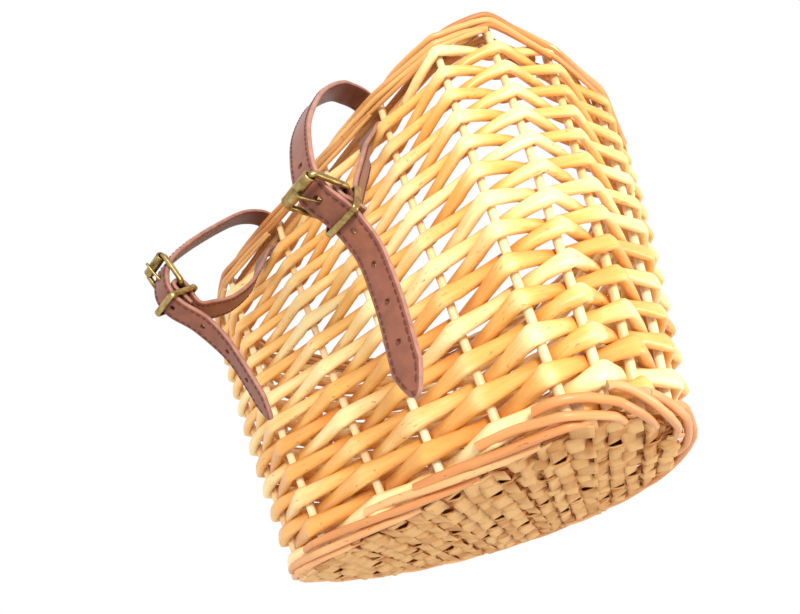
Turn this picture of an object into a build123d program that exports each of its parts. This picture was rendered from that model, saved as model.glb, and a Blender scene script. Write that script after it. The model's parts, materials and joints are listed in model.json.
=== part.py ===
"""Wicker handlebar basket: a D-shaped randed willow basket with two buckled leather straps.

Millimetres, +Z up, z = 0 on the surface that the base stands on. The flat wall that hangs
against the handlebar faces -Y; the rounded front faces +Y. The origin is below the middle
of the whole object's box. Stakes stand up through the wall, every row of weaving passes in
front of one stake and behind the next, and each strap runs round the rim in a closed loop.
"""
from build123d import *
from math import atan2, cos, degrees, hypot, pi, sin, tan
import os

# ---- the wall: two D outlines, joined by straight ruled lines ---------------------------
wall_height = 170.0           # between the two outlines below
foot_z = 3.8                  # height of the lower outline above the standing surface
back_y = -53.0                # the flat wall's foot, as a Y value
lean = 28.0                   # how far the flat wall's top leans out over its foot
bulge = 2.6                   # extra swell of the wall at mid height
foot_half, foot_corner, foot_turn = 73.0, 7.0, -0.41   # half flat, corner radius, corner end
top_half, top_corner, top_turn = 89.6, 28.7, -0.55     # the same for the upper outline

# ---- willow ------------------------------------------------------------------------------
stake_radius = 1.5
rod_radius = 1.95
weave_offset = 4.2            # from a stake's middle to the middle of a rod that passes it
row_count = 24
first_row_z = 9.0
row_pitch = 6.25
stakes_on_back = 8            # the stakes listed below; the rest are spread evenly
stake_total = 20
back_stake_foot = (-86.0, -50.0, -9.0, 21.0, 49.0, 73.0, 86.5, 102.0)
back_stake_top = (-119.0, -77.0, -24.0, 20.0, 64.5, 100.0, 125.0, 158.0)
close_stakes = (0, 5, 6, 7)   # where the rods run level for a little before they cross over
level_run = 2.6
stake_low_z, stake_high_z = 6.4, 171.0
rim_rods = ((4.4, 167.0), (4.4, 172.6), (-4.4, 167.0), (-4.4, 172.6))  # (offset, z)
border_radius = 2.2
foot_rods = ((5.0, 4.4), (-4.6, 4.6), (0.2, border_radius + 0.1))      # (offset, z)
row_joint = 0.35              # gap where one length of rod ends and the next begins

# ---- the plaited base --------------------------------------------------------------------
strip_width, strip_gap, strip_thick = 6.0, 1.4, 0.8
strip_lift = 0.35             # clear height between the two layers
base_inset = 3.6

# ---- the straps: places are (distance out from the wall's foot, height) ------------------
strap_width, strap_thick = 12.0, 2.2
play = 0.3                    # clear space between leather and metal
bar_radius = 1.1
roller_inner, roller_outer = 1.18, 2.1
frame_half_width = 7.7        # from the middle of the buckle to the middle of a side bar
keeper_radius = 0.9
keeper_reach = (-4.7, 8.6)    # the keeper's two long wires, measured across the strap
keeper_past_bar = 3.6
prong_radius = 0.75
prong_eye_radius, prong_eye_width = 1.9, 2.4
prong_overhang = 1.5
fold_radius = strap_thick / 2 + bar_radius + 0.4
fold_length = 9.0
hole_radius, hole_pitch, free_holes = 1.1, 12.7, 4
tip_length = 9.0
# the loop is the same where it passes through the wall, round the rim and back out
wrap = ((38, 142), (36.5, 150), (32, 155.3), (25, 159.3), (19, 162.3), (16, 168.8),
        (20, 177.8), (28.5, 181.3), (37, 178.3))
straps = {
    "right": {"x": 55.0, "bar": (61.1, 84.1), "roller": (76.3, 80.5), "over_bar": (62.6, 78.9),
              "short": ((48.6, 83.6), (46, 89), (44.5, 106), (40.5, 124), (38.7, 134)),
              "loop": ((46, 171.5), (60, 148.8), (70, 120.8), (72.8, 101), (72.3, 86.5),
                       (68.7, 81)),
              "free": ((56, 74.8), (50, 65.8), (47.5, 52.3), (46.5, 40.3), (46.5, 24),
                       (45.5, 13))},
    "left": {"x": -35.0, "bar": (76.5, 106.1), "roller": (85.5, 118.3), "over_bar": (80.5, 102.5),
             "short": ((66.3, 99), (61, 102), (51, 110), (42.5, 122), (38.8, 134)),
             "loop": ((46, 171), (57, 157.5), (69, 140.8), (77.5, 127), (81.2, 118.5),
                      (82.2, 110)),
             "free": ((75.3, 97.3), (64, 93), (52, 82.8), (42, 68.8), (33, 52.8))},
}


def outline(half, corner, turn, along):
    """Point and outward direction on a D outline, a signed length from the flat's middle."""
    length, side = abs(along), (1 if along >= 0 else -1)
    radius = corner + half / cos(turn)
    corner_length = corner * (turn + pi / 2)
    if length <= half:
        x, y, angle = length, 0.0, -pi / 2
    elif length <= half + corner_length:
        angle = -pi / 2 + (length - half) / corner
        x, y = half + corner * cos(angle), corner + corner * sin(angle)
    else:
        angle = turn + (length - half - corner_length) / radius
        x, y = radius * cos(angle), corner - half * tan(turn) + radius * sin(angle)
    return side * x, y, side * cos(angle), sin(angle)


def half_girth(half, corner, turn):
    """Half the length round a D outline."""
    return half + corner * (turn + pi / 2) + (corner + half / cos(turn)) * (pi / 2 - turn)


def wall_point(foot_along, top_along, z, out):
    """A point on the wall, or `out` in front of it, at a height."""
    x0, y0, nx0, ny0 = outline(foot_half, foot_corner, foot_turn, foot_along)
    x1, y1, nx1, ny1 = outline(top_half, top_corner, top_turn, top_along)
    u = (z - foot_z) / wall_height
    swell = out + bulge * 4 * u * (1 - u)
    nx, ny = nx0 + (nx1 - nx0) * u, ny0 + (ny1 - ny0) * u
    size = hypot(nx, ny)
    x = x0 + (x1 - x0) * u + nx / size * swell
    y = y0 + (y1 - y0) * u - lean * u + ny / size * swell
    return Vector(x, back_y + y, z)


def stake_places():
    """Where each stake stands, as lengths round the lower and the upper outline."""
    places = list(zip(back_stake_foot, back_stake_top))
    gaps = stake_total - stakes_on_back + 1
    girth0 = 2 * half_girth(foot_half, foot_corner, foot_turn)
    girth1 = 2 * half_girth(top_half, top_corner, top_turn)
    first, last = places[0], places[-1]
    for i in range(1, gaps):
        spot = [last[j] + (g + first[j] - last[j]) * i / gaps
                for j, g in enumerate((girth0, girth1))]
        places.append(tuple(s if s <= g / 2 else s - g
                            for s, g in zip(spot, (girth0, girth1))))
    return places


def between(first, second, share):
    """A place part of the way from one stake to the next, the short way round."""
    spot = []
    for j, shape in enumerate(((foot_half, foot_corner, foot_turn),
                               (top_half, top_corner, top_turn))):
        girth = 2 * half_girth(*shape)
        step = (second[j] - first[j] + girth / 2) % girth - girth / 2
        value = first[j] + step * share
        spot.append((value + girth / 2) % girth - girth / 2)
    return tuple(spot)


def rod(points, radius):
    """A round rod along straight runs with mitred bends."""
    path = Polyline(*points)
    start = Plane(origin=points[0], z_dir=points[1] - points[0])
    return sweep(start * Circle(radius), path=path, transition=Transition.RIGHT)


def shorten(points, gap):
    """The same run with a little taken off both ends."""
    first = points[0] + (points[1] - points[0]).normalized() * gap
    last = points[-1] + (points[-2] - points[-1]).normalized() * gap
    return [first] + list(points[1:-1]) + [last]


stakes = stake_places()
# each length of rod runs past these stakes, from mid gap to mid gap
stretch_starts = (1, 4, 6, 8, 10, 12, 14, 16, 17, 19)


def stretches():
    """The first and last stake that each length of rod runs past."""
    ends = stretch_starts[1:] + (stake_total + stretch_starts[0],)
    return [(low, high - 1) for low, high in zip(stretch_starts, ends)]


def spot(number):
    """A place on the wall by stake number; 2.5 is half way from stake 2 to stake 3."""
    whole = int(number // 1)
    return between(stakes[whole % stake_total], stakes[(whole + 1) % stake_total],
                   number - whole)


def row_pieces(row):
    """The rods of one row of weaving: in front of one stake, behind the next."""
    z = first_row_z + row * row_pitch
    pieces = []
    for low, high in stretches():
        points = [wall_point(*spot(low - 0.5), z, 0)]
        for number in range(low, high + 1):
            out = weave_offset if (number % stake_total + row) % 2 == 0 else -weave_offset
            here = wall_point(*spot(number), z, out)
            if number % stake_total in close_stakes:
                for share in (-0.05, 0.05):
                    way = wall_point(*spot(number + share), z, out) - here
                    points.append(here + way.normalized() * level_run)
            else:
                points.append(here)
        points.append(wall_point(*spot(high + 0.5), z, 0))
        pieces.append(rod(shorten(points, row_joint / 2), rod_radius))
    return pieces


def ring_pieces(out, z, radius, steps):
    """A border rod that runs along the wall without weaving, in the same lengths."""
    pieces = []
    for low, high in stretches():
        count = (high - low + 1) * steps
        points = [wall_point(*spot(low - 0.5 + i / steps), z, out) for i in range(count + 1)]
        pieces.append(rod(shorten(points, row_joint / 2), radius))
    return pieces


def stake(place):
    """One upright stake, gently bowed with the wall."""
    low = wall_point(*place, stake_low_z, 0)
    middle = wall_point(*place, (stake_low_z + stake_high_z) / 2, 0)
    high = wall_point(*place, stake_high_z, 0)
    path = ThreePointArc(low, middle, high)
    return sweep(Plane(origin=low, z_dir=path % 0) * Circle(stake_radius), path=path)


def base_strips(crosswise):
    """One layer of the flat strips of the base, trimmed to the lower outline."""
    girth = half_girth(foot_half, foot_corner, foot_turn)
    rim = [wall_point(girth * i / 40, 0, foot_z, -base_inset) for i in range(-40, 40)]
    low = 0.0 if crosswise else strip_thick + strip_lift
    shape = extrude(make_face(Polyline(*[Vector(p.X, p.Y, low) for p in rim], close=True)),
                    strip_thick, dir=(0, 0, 1))
    box = shape.bounding_box()
    pitch = strip_width + strip_gap
    span = box.max.X - box.min.X if crosswise else box.max.Y - box.min.Y
    count = int(span // pitch)
    pieces = []
    for i in range(count):
        shift = (i - (count - 1) / 2) * pitch
        middle = Vector((box.min.X + box.max.X) / 2, (box.min.Y + box.max.Y) / 2,
                        low + strip_thick / 2)
        if crosswise:
            slab = Pos(middle.X + shift, middle.Y, middle.Z) * Box(strip_width, 400, strip_thick)
        else:
            slab = Pos(middle.X, middle.Y + shift, middle.Z) * Box(400, strip_width, strip_thick)
        pieces += (slab & shape).solids()
    return pieces


def save(name, solids):
    """Write one node, as one solid or as a group of separate ones."""
    solids = list(solids)
    shape = solids[0] if len(solids) == 1 else Compound(children=solids)
    shape.label = name
    export_step(shape, os.path.join("parts", name + ".step"))


def smooth(points, steps=8):
    """A smooth run through flat points, as closely spaced points."""
    padded = [points[0]] + list(points) + [points[-1]]
    run = []
    for a, b, c, d in zip(padded, padded[1:], padded[2:], padded[3:]):
        for i in range(steps):
            t = i / steps
            run.append(tuple(0.5 * (2 * q + (r - p) * t + (2 * p - 5 * q + 4 * r - s) * t ** 2
                                    + (3 * q - p - 3 * r + s) * t ** 3)
                             for p, q, r, s in zip(a, b, c, d)))
    return run + [points[-1]]


def unit(a, b):
    """The direction from one flat point to another."""
    size = hypot(b[0] - a[0], b[1] - a[1])
    return (b[0] - a[0]) / size, (b[1] - a[1]) / size


def step_from(point, *moves):
    """A flat point moved by (direction, distance) pairs."""
    return (point[0] + sum(d[0] * m for d, m in moves),
            point[1] + sum(d[1] * m for d, m in moves))


def buckle_axes(spec):
    """Across the strap, away from the loop, and along it, away from the roller."""
    across = unit(spec["bar"], spec["over_bar"])
    along = (across[1], -across[0])
    toward_roller = unit(spec["bar"], spec["roller"])
    if along[0] * toward_roller[0] + along[1] * toward_roller[1] > 0:
        along = (-along[0], -along[1])
    return across, along


def strap_line(spec):
    """The middle of the leather, from the end of its fold to the tip of its free end."""
    across, along = buckle_axes(spec)
    bar, half = spec["bar"], (strap_thick + play) / 2
    fold = [step_from(bar, (across, half), (along, fold_length)),
            step_from(bar, (across, half + 0.5), (along, fold_length / 2))]
    for i in range(9):
        turn = pi * i / 8
        fold.append(step_from(bar, (across, fold_radius * cos(turn)),
                              (along, -fold_radius * sin(turn))))
    fold += [step_from(bar, (across, -half - 0.5), (along, fold_length / 2)),
             step_from(bar, (across, -half), (along, fold_length))]
    rest = spec["short"] + wrap + spec["loop"] + (spec["over_bar"],) + spec["free"]
    return fold[:-2] + smooth(tuple(fold[-2:]) + rest)


def place(x, point):
    """A strap point in the object's frame."""
    return Vector(x, back_y - point[0], point[1])


def ribbon(x, line):
    """The flat strip of leather that follows a line."""
    sides = ([], [])
    for i, point in enumerate(line):
        dx, dz = unit(line[max(i - 1, 0)], line[min(i + 1, len(line) - 1)])
        for side, sign in zip(sides, (1, -1)):
            side.append(step_from(point, ((-dz, dx), sign * strap_thick / 2)))
    corners = [place(x - strap_width / 2, p) for p in sides[0] + sides[1][::-1]]
    return extrude(make_face(Polyline(*corners, close=True)), strap_width, dir=(1, 0, 0))


def cylinder_between(a, b, radius):
    """A round bar between two points."""
    return Plane(origin=(a + b) / 2, z_dir=b - a) * Cylinder(radius, (b - a).length)


def wire_loop(corners, radius):
    """A closed loop of round wire with round corners."""
    loop = None
    for a, b in zip(corners, corners[1:] + corners[:1]):
        piece = cylinder_between(a, b, radius) + Pos(*a) * Sphere(radius)
        loop = piece if loop is None else loop + piece
    return loop


def along_line(line, start, distance):
    """The point a given length on from an index of the line, and the direction there."""
    i, left = start, distance
    step = 1 if distance > 0 else -1
    while 0 <= i + step < len(line):
        length = hypot(line[i + step][0] - line[i][0], line[i + step][1] - line[i][1])
        if length >= abs(left):
            way = unit(line[i], line[i + step])
            return step_from(line[i], (way, abs(left))), way
        left -= step * length
        i += step
    return line[-1], unit(line[-2], line[-1])


def prong_way(spec):
    """The direction of the prong, from the bar over the outside of the roller."""
    bar, roller = spec["bar"], spec["roller"]
    ahead = unit(bar, roller)
    outside = (ahead[1], -ahead[0])
    if outside[0] * (spec["over_bar"][0] - bar[0]) + outside[1] * (spec["over_bar"][1] - bar[1]) < 0:
        outside = (-outside[0], -outside[1])
    rest = step_from(roller, (outside, roller_outer + prong_radius + 0.1))
    return unit(bar, rest), hypot(rest[0] - bar[0], rest[1] - bar[1])


def make_strap(side, spec):
    """One buckled strap: leather, frame, roller, prong and keeper."""
    x, bar, roller = spec["x"], spec["bar"], spec["roller"]
    across, along = buckle_axes(spec)
    line = strap_line(spec)
    leather = ribbon(x, line)
    # the fold is slotted for the prong's eye
    ends = [place(x + s * 1.6, bar) for s in (-1, 1)]
    leather -= cylinder_between(*ends, fold_radius + strap_thick / 2 + 0.1)
    # the prong's own hole is a slot, long enough to let the prong lift
    way, reach = prong_way(spec)
    middle = place(x, step_from(bar, (way, reach * 0.5), (across, 0.3)))
    direction = place(x, step_from(bar, (way, 1))) - place(x, bar)
    leather -= Plane(origin=middle, x_dir=(1, 0, 0), z_dir=direction) * Box(2.4, 3.9, 9)
    # round holes along the free end and one above the buckle
    crossing = min(range(len(line) // 2, len(line)),
                   key=lambda i: hypot(line[i][0] - bar[0] - way[0] * reach / 2,
                                       line[i][1] - bar[1] - way[1] * reach / 2))
    for number in [-1] + list(range(1, free_holes + 1)):
        point, heading = along_line(line, crossing, number * hole_pitch)
        square = (-heading[1], heading[0])
        ends = [place(x, step_from(point, (square, s * 2.5))) for s in (-1, 1)]
        leather -= cylinder_between(*ends, hole_radius)
    # the free end narrows to a blunt point
    tip, heading = line[-1], unit(line[-2], line[-1])
    square = (-heading[1], heading[0])
    for s in (-1, 1):
        edge = [place(x + s * 2.2, step_from(tip, (heading, 0.5))),
                place(x + s * 7.0, step_from(tip, (heading, 0.5))),
                place(x + s * 7.0, step_from(tip, (heading, -tip_length)))]
        shift = place(0, step_from((0, 0), (square, -2.5))) - place(0, (0, 0))
        corner = make_face(Polyline(*[p + shift for p in edge], close=True))
        leather -= extrude(corner, 5.0, dir=-shift)
    save(side + "_strap", leather.solids())

    corners = [place(x - frame_half_width, bar), place(x + frame_half_width, bar),
               place(x + frame_half_width, roller), place(x - frame_half_width, roller)]
    save(side + "_buckle_frame", wire_loop(corners, bar_radius).solids())

    half = frame_half_width - bar_radius - 0.1
    ends = [place(x + s * half, roller) for s in (-1, 1)]
    tube = cylinder_between(*ends, roller_outer) - cylinder_between(*ends, roller_inner)
    save(side + "_buckle_roller", tube.solids())

    ends = [place(x + s * prong_eye_width / 2, bar) for s in (-1, 1)]
    eye = cylinder_between(*ends, prong_eye_radius)
    shaft = cylinder_between(place(x, step_from(bar, (way, 1.5))),
                             place(x, step_from(bar, (way, reach + prong_overhang))),
                             prong_radius)
    prong = eye + shaft - cylinder_between(*ends, roller_inner)
    save(side + "_buckle_prong", prong.solids())

    middle = step_from(bar, (along, keeper_past_bar))
    low, high = (step_from(middle, (across, reach)) for reach in keeper_reach)
    half = strap_width / 2 + play * 2 + keeper_radius
    corners = [place(x - half, low), place(x + half, low),
               place(x + half, high), place(x - half, high)]
    save(side + "_keeper", wire_loop(corners, keeper_radius).solids())


os.makedirs("parts", exist_ok=True)
groups = {"stakes_left_corner": (0, 1), "stakes_back": (1, 6), "stakes_right_corner": (6, 8),
          "stakes_right_side": (8, 12), "stakes_front": (12, 16), "stakes_left_side": (16, 20)}
for name, (low, high) in groups.items():
    save(name, [stake(stakes[i]) for i in range(low, high)])
for row in range(row_count):
    save("weaving_row_%02d" % (row + 1), row_pieces(row))
for number, (out, z) in enumerate(rim_rods):
    save("rim_rod_%d" % (number + 1), ring_pieces(out, z, border_radius, 3))
for number, (out, z) in enumerate(foot_rods):
    save("foot_border_rod_%d" % (number + 1), ring_pieces(out, z, border_radius, 6))
save("base_strips_crosswise", base_strips(True))
save("base_strips_lengthwise", base_strips(False))
for side, spec in straps.items():
    make_strap(side, spec)
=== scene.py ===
"""Wicker handlebar basket: willow rods, a plaited base and two buckled leather straps.

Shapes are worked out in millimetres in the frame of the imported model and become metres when
a mesh is made. A place on the wall is a stake number: 2.5 is half way from stake 2 to 3.
"""
import bpy
import bmesh
import json
from math import ceil, cos, exp, floor, hypot, pi, radians, sin, sqrt, tan
from mathutils import Matrix, Vector, noise
from random import Random

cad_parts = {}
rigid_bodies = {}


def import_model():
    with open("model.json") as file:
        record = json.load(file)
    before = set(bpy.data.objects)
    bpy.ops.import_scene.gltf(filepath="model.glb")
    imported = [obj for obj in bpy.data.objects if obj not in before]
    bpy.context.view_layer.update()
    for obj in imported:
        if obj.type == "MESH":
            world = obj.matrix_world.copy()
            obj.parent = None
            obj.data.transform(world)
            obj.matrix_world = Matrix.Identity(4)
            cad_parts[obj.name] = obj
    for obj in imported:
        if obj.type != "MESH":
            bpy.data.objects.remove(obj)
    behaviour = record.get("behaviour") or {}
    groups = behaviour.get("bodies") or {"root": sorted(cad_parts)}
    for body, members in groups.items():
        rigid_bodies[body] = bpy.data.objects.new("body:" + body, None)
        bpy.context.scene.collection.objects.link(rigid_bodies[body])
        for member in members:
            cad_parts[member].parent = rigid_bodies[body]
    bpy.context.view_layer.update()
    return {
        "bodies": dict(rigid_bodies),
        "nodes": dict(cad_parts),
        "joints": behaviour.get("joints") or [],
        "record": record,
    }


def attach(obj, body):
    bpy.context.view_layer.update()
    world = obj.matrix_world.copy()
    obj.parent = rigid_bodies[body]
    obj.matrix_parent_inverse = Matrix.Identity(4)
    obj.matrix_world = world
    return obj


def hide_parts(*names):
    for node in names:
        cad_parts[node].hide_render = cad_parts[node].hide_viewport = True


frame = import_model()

MM = 0.001

# ---- the wall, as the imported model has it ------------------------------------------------
wall_height, foot_z, back_y, lean, bulge = 170.0, 3.8, -53.0, 28.0, 2.6
foot_shape = (73.0, 7.0, -0.41)          # half flat, corner radius, corner end
top_shape = (89.6, 28.7, -0.55)
back_stake_foot = (-86.0, -50.0, -9.0, 21.0, 49.0, 73.0, 86.5, 102.0)
back_stake_top = (-119.0, -77.0, -24.0, 20.0, 64.5, 100.0, 125.0, 158.0)
stake_total = 20
row_count, first_row_z, row_pitch = 24, 9.0, 6.25
weave_offset = 4.2
straightness = 0.75                      # 1 where a rod runs straight from stake to stake


def outline(shape, along):
    """Point and outward direction on a D outline, a signed length from the flat's middle."""
    half, corner, turn = shape
    length, side = abs(along), (1 if along >= 0 else -1)
    radius = corner + half / cos(turn)
    corner_length = corner * (turn + pi / 2)
    if length <= half:
        x, y, angle = length, 0.0, -pi / 2
    elif length <= half + corner_length:
        angle = -pi / 2 + (length - half) / corner
        x, y = half + corner * cos(angle), corner + corner * sin(angle)
    else:
        angle = turn + (length - half - corner_length) / radius
        x, y = radius * cos(angle), corner - half * tan(turn) + radius * sin(angle)
    return side * x, y, side * cos(angle), sin(angle)


def half_girth(shape):
    """Half the length round a D outline."""
    half, corner, turn = shape
    return half + corner * (turn + pi / 2) + (corner + half / cos(turn)) * (pi / 2 - turn)


def wall_point(place, z, out):
    """A point on the wall, or `out` in front of it, at a height."""
    x0, y0, nx0, ny0 = outline(foot_shape, place[0])
    x1, y1, nx1, ny1 = outline(top_shape, place[1])
    u = (z - foot_z) / wall_height
    swell = out + bulge * 4 * u * (1 - u)
    nx, ny = nx0 + (nx1 - nx0) * u, ny0 + (ny1 - ny0) * u
    size = hypot(nx, ny)
    x = x0 + (x1 - x0) * u + nx / size * swell
    y = y0 + (y1 - y0) * u - lean * u + ny / size * swell
    return Vector((x, back_y + y, z))


girths = (2 * half_girth(foot_shape), 2 * half_girth(top_shape))


def stake_places():
    """Where each stake stands, as lengths round the lower and the upper outline."""
    places = list(zip(back_stake_foot, back_stake_top))
    gaps = stake_total - len(places) + 1
    first, last = places[0], places[-1]
    for i in range(1, gaps):
        spot = [last[j] + (g + first[j] - last[j]) * i / gaps for j, g in enumerate(girths)]
        places.append(tuple(s if s <= g / 2 else s - g for s, g in zip(spot, girths)))
    return places


stakes = stake_places()


def spot(number):
    """A place on the wall by stake number."""
    whole = floor(number)
    a, b = stakes[whole % stake_total], stakes[(whole + 1) % stake_total]
    place = []
    for first, second, girth in zip(a, b, girths):
        step = (second - first + girth / 2) % girth - girth / 2
        value = first + step * (number - whole)
        place.append((value + girth / 2) % girth - girth / 2)
    return tuple(place)


def wall_at(number, z, out, straight=straightness):
    """On the wall at a stake number, between the curved wall and a straight run."""
    whole = floor(number)
    share = number - whole
    arc = wall_point(spot(number), z, out)
    chord = wall_point(spot(whole), z, out).lerp(wall_point(spot(whole + 1), z, out), share)
    return arc.lerp(chord, straight)


# ---- mesh making -------------------------------------------------------------------------
def waver(a, b, c):
    """A smooth random value, from about -1 to 1, at a place in a field of them."""
    return noise.noise(Vector((a, b, c)))


def ease(share):
    """0 to 1 with level ends."""
    share = min(1.0, max(0.0, share))
    return share * share * (3 - 2 * share)


def add_object(name, data):
    """A new object in the scene, with its mesh, camera or light."""
    made = bpy.data.objects.new(name, data)
    bpy.context.scene.collection.objects.link(made)
    return made


class Shape:
    """Gathers surfaces for one mesh, with what the materials read at each point."""

    def __init__(self):
        self.points, self.fibre, self.tone, self.faces, self.slots = [], [], [], [], []

    def add(self, point, fibre=(0.0, 0.0, 0.0), tone=0.5):
        self.points.append(Vector(point) * MM)
        self.fibre.append(tuple(fibre))
        self.tone.append(tone)
        return len(self.points) - 1

    def face(self, corners, slot=0):
        self.faces.append(corners)
        self.slots.append(slot)

    def loft(self, rings, grain, tone, slot=0, end_slot=1, caps=True, closed=False):
        """A skin over rings of points; grain gives each point's (round, along, seed)."""
        tones = tone if isinstance(tone, list) else [tone] * len(rings)
        rows = [[self.add(p, g, t) for p, g in zip(ring, line)]
                for ring, line, t in zip(rings, grain, tones)]
        count = len(rows[0])
        pairs = list(zip(rows, rows[1:])) + ([(rows[-1], rows[0])] if closed else [])
        for low, high in pairs:
            for j in range(count):
                k = (j + 1) % count
                self.face((low[j], low[k], high[k], high[j]), slot)
        if caps and not closed:
            for ring, line, flip in ((rings[0], grain[0], True), (rings[-1], grain[-1], False)):
                middle = sum(ring, Vector()) / count
                hub = self.add(middle, (0.0, 0.0, line[0][2]), tones[0])
                edge = [self.add(p, g, tones[0]) for p, g in zip(ring, line)]
                for j in range(count):
                    k = (j + 1) % count
                    corners = (edge[k], edge[j], hub) if flip else (edge[j], edge[k], hub)
                    self.face(corners, end_slot)

    def build(self, name, materials):
        """The mesh object, in metres."""
        mesh = bpy.data.meshes.new(name)
        mesh.from_pydata([tuple(p) for p in self.points], [], self.faces)
        fibre = mesh.attributes.new("fibre", "FLOAT_VECTOR", "POINT")
        fibre.data.foreach_set("vector", [v for f in self.fibre for v in f])
        tone = mesh.attributes.new("tone", "FLOAT", "POINT")
        tone.data.foreach_set("value", self.tone)
        mesh.polygons.foreach_set("use_smooth", [True] * len(self.faces))
        mesh.polygons.foreach_set("material_index", self.slots)
        for material in materials:
            mesh.materials.append(material)
        piece = add_object(name, mesh)
        mesh.validate()
        return piece


def soften(path, rounds=1):
    """The same path with its bends eased; the ends stay."""
    for _ in range(rounds):
        path = ([path[0]]
                + [(a + b * 2 + c) / 4 for a, b, c in zip(path, path[1:], path[2:])]
                + [path[-1]])
    return path


def directions(path):
    """The unit direction at each point of a path."""
    last = len(path) - 1
    return [(path[min(i + 1, last)] - path[max(i - 1, 0)]).normalized()
            for i in range(len(path))]


def travelled(path):
    """The length from the start to each point of a path."""
    lengths = [0.0]
    for a, b in zip(path, path[1:]):
        lengths.append(lengths[-1] + (b - a).length)
    return lengths


rod_sides = 14


def rod(shape, path, size, rng, tone=None, upright=False, knots=0.025, painted_highlight_and_shade=None, square=2.0):
    """A peeled willow rod: uneven, with knots and a slanting cut at each end.

    size is (half height, half depth), or a function of a point's index and share of the
    length that gives them; a function of an index may add painted highlight and shade to the tone.
    """
    ways, lengths = directions(path), travelled(path)
    total, seed = lengths[-1], rng.uniform(0, 400)
    tone = rng.random() if tone is None else tone
    knot_places = [(rng.uniform(0, total), rng.uniform(0, 2 * pi))
                   for _ in range(int(total * knots))]
    slants = [(rng.uniform(-0.45, 0.45), rng.uniform(-0.45, 0.45)) for _ in range(2)]
    rings, grain, tones = [], [], []
    for i, (point, way, length) in enumerate(zip(path, ways, lengths)):
        aside = way.cross(Vector((0, 1, 0)) if upright else Vector((0, 0, 1))).normalized()
        up = aside.cross(way).normalized()
        high, deep = size(i, length / total) if callable(size) else size
        ring, line = [], []
        for j in range(rod_sides):
            angle = 2 * pi * j / rod_sides
            c, s = cos(angle), sin(angle)
            swell = 1 + 0.06 * waver(length * 0.07, c, seed)
            for place, turn in knot_places:
                if abs(length - place) < 5:
                    swell += 0.16 * exp(-((length - place) / 1.6) ** 2) * max(0.0, cos(angle - turn))
            swell *= (abs(c) ** square + abs(s) ** square) ** (-1 / square)
            x, y = c * deep * swell, s * high * swell
            p = point + aside * x + up * y
            if i in (0, len(path) - 1):
                slant = slants[0 if i == 0 else 1]
                p = p + way * (x * slant[0] + y * slant[1])
            ring.append(p)
            line.append((c * deep, s * high, length + seed * 10))
        rings.append(ring)
        grain.append(line)
        # the rod's tone plus any painted highlight and shade at this point
        tones.append(tone + (painted_highlight_and_shade(i) if painted_highlight_and_shade else 0.0))
    shape.loft(rings, grain, tones)


# ---- materials ---------------------------------------------------------------------------
def srgb(red, green, blue):
    """A colour given as it looks on a screen, 0 to 255, in the linear values nodes use."""
    return tuple((c / 255 / 12.92) if c <= 10 else ((c / 255 + 0.055) / 1.055) ** 2.4
                 for c in (red, green, blue)) + (1.0,)


class Nodes:
    """Short calls for building one material's node tree."""

    def __init__(self, name, **sockets):
        self.material = bpy.data.materials.new(name)
        self.material.use_nodes = True
        self.tree = self.material.node_tree
        self.shader = self.tree.nodes["Principled BSDF"]
        for socket, value in sockets.items():
            self.shader.inputs[socket.replace("_", " ")].default_value = value

    def feed(self, socket, value):
        """Links a socket to another one, or sets its value."""
        if isinstance(value, bpy.types.NodeSocket):
            self.tree.links.new(value, socket)
        else:
            socket.default_value = value

    def node(self, kind, inputs=(), **settings):
        made = self.tree.nodes.new(kind)
        for key, value in settings.items():
            setattr(made, key, value)
        for key, value in dict(inputs).items():
            self.feed(made.inputs[key], value)
        return made

    def attribute(self, name, output="Vector"):
        return self.node("ShaderNodeAttribute", attribute_name=name).outputs[output]

    def stretch(self, vector, scale):
        return self.node("ShaderNodeMapping", {"Vector": vector, "Scale": scale}).outputs[0]

    def noise(self, vector, scale, detail=3.0, roughness=0.55):
        return self.node("ShaderNodeTexNoise", {"Vector": vector, "Scale": scale,
                                                "Detail": detail, "Roughness": roughness}).outputs[0]

    def streaks(self, vector, scale, detail, roughness):
        """Noise drawn out by its own amount along each axis."""
        return self.noise(self.stretch(vector, scale), 1.0, detail, roughness)

    def spread(self, value, low, high):
        """A value from 0 to 1 spread from low to high."""
        return self.node("ShaderNodeMapRange", {"Value": value, "To Min": low,
                                                "To Max": high}).outputs[0]

    def math(self, operation, *values):
        made = self.node("ShaderNodeMath", operation=operation)
        for place, value in enumerate(values):
            self.feed(made.inputs[place], value)
        return made.outputs[0]

    def ramp(self, factor, stops):
        made = self.node("ShaderNodeValToRGB", {"Fac": factor})
        elements = made.color_ramp.elements
        while len(elements) < len(stops):
            elements.new(0.5)
        for element, (place, colour) in zip(elements, stops):
            element.position = place
            element.color = colour if len(colour) == 4 else tuple(colour) + (1.0,)
        return made.outputs[0]

    def mix(self, factor, first, second, blend="MIX"):
        made = self.node("ShaderNodeMix", data_type="RGBA", blend_type=blend)
        for place, value in ((0, factor), (6, first), (7, second)):
            self.feed(made.inputs[place], value)
        return made.outputs[2]

    def bump(self, height, strength, distance, normal=None):
        inputs = {"Height": height, "Strength": strength, "Distance": distance}
        if normal is not None:
            inputs["Normal"] = normal
        return self.node("ShaderNodeBump", inputs).outputs[0]

    def finish(self, colour, roughness, normal):
        for name, value in (("Base Color", colour), ("Roughness", roughness), ("Normal", normal)):
            self.tree.links.new(value, self.shader.inputs[name])
        return self.material


def grey(value):
    return (value, value, value, 1.0)


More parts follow.
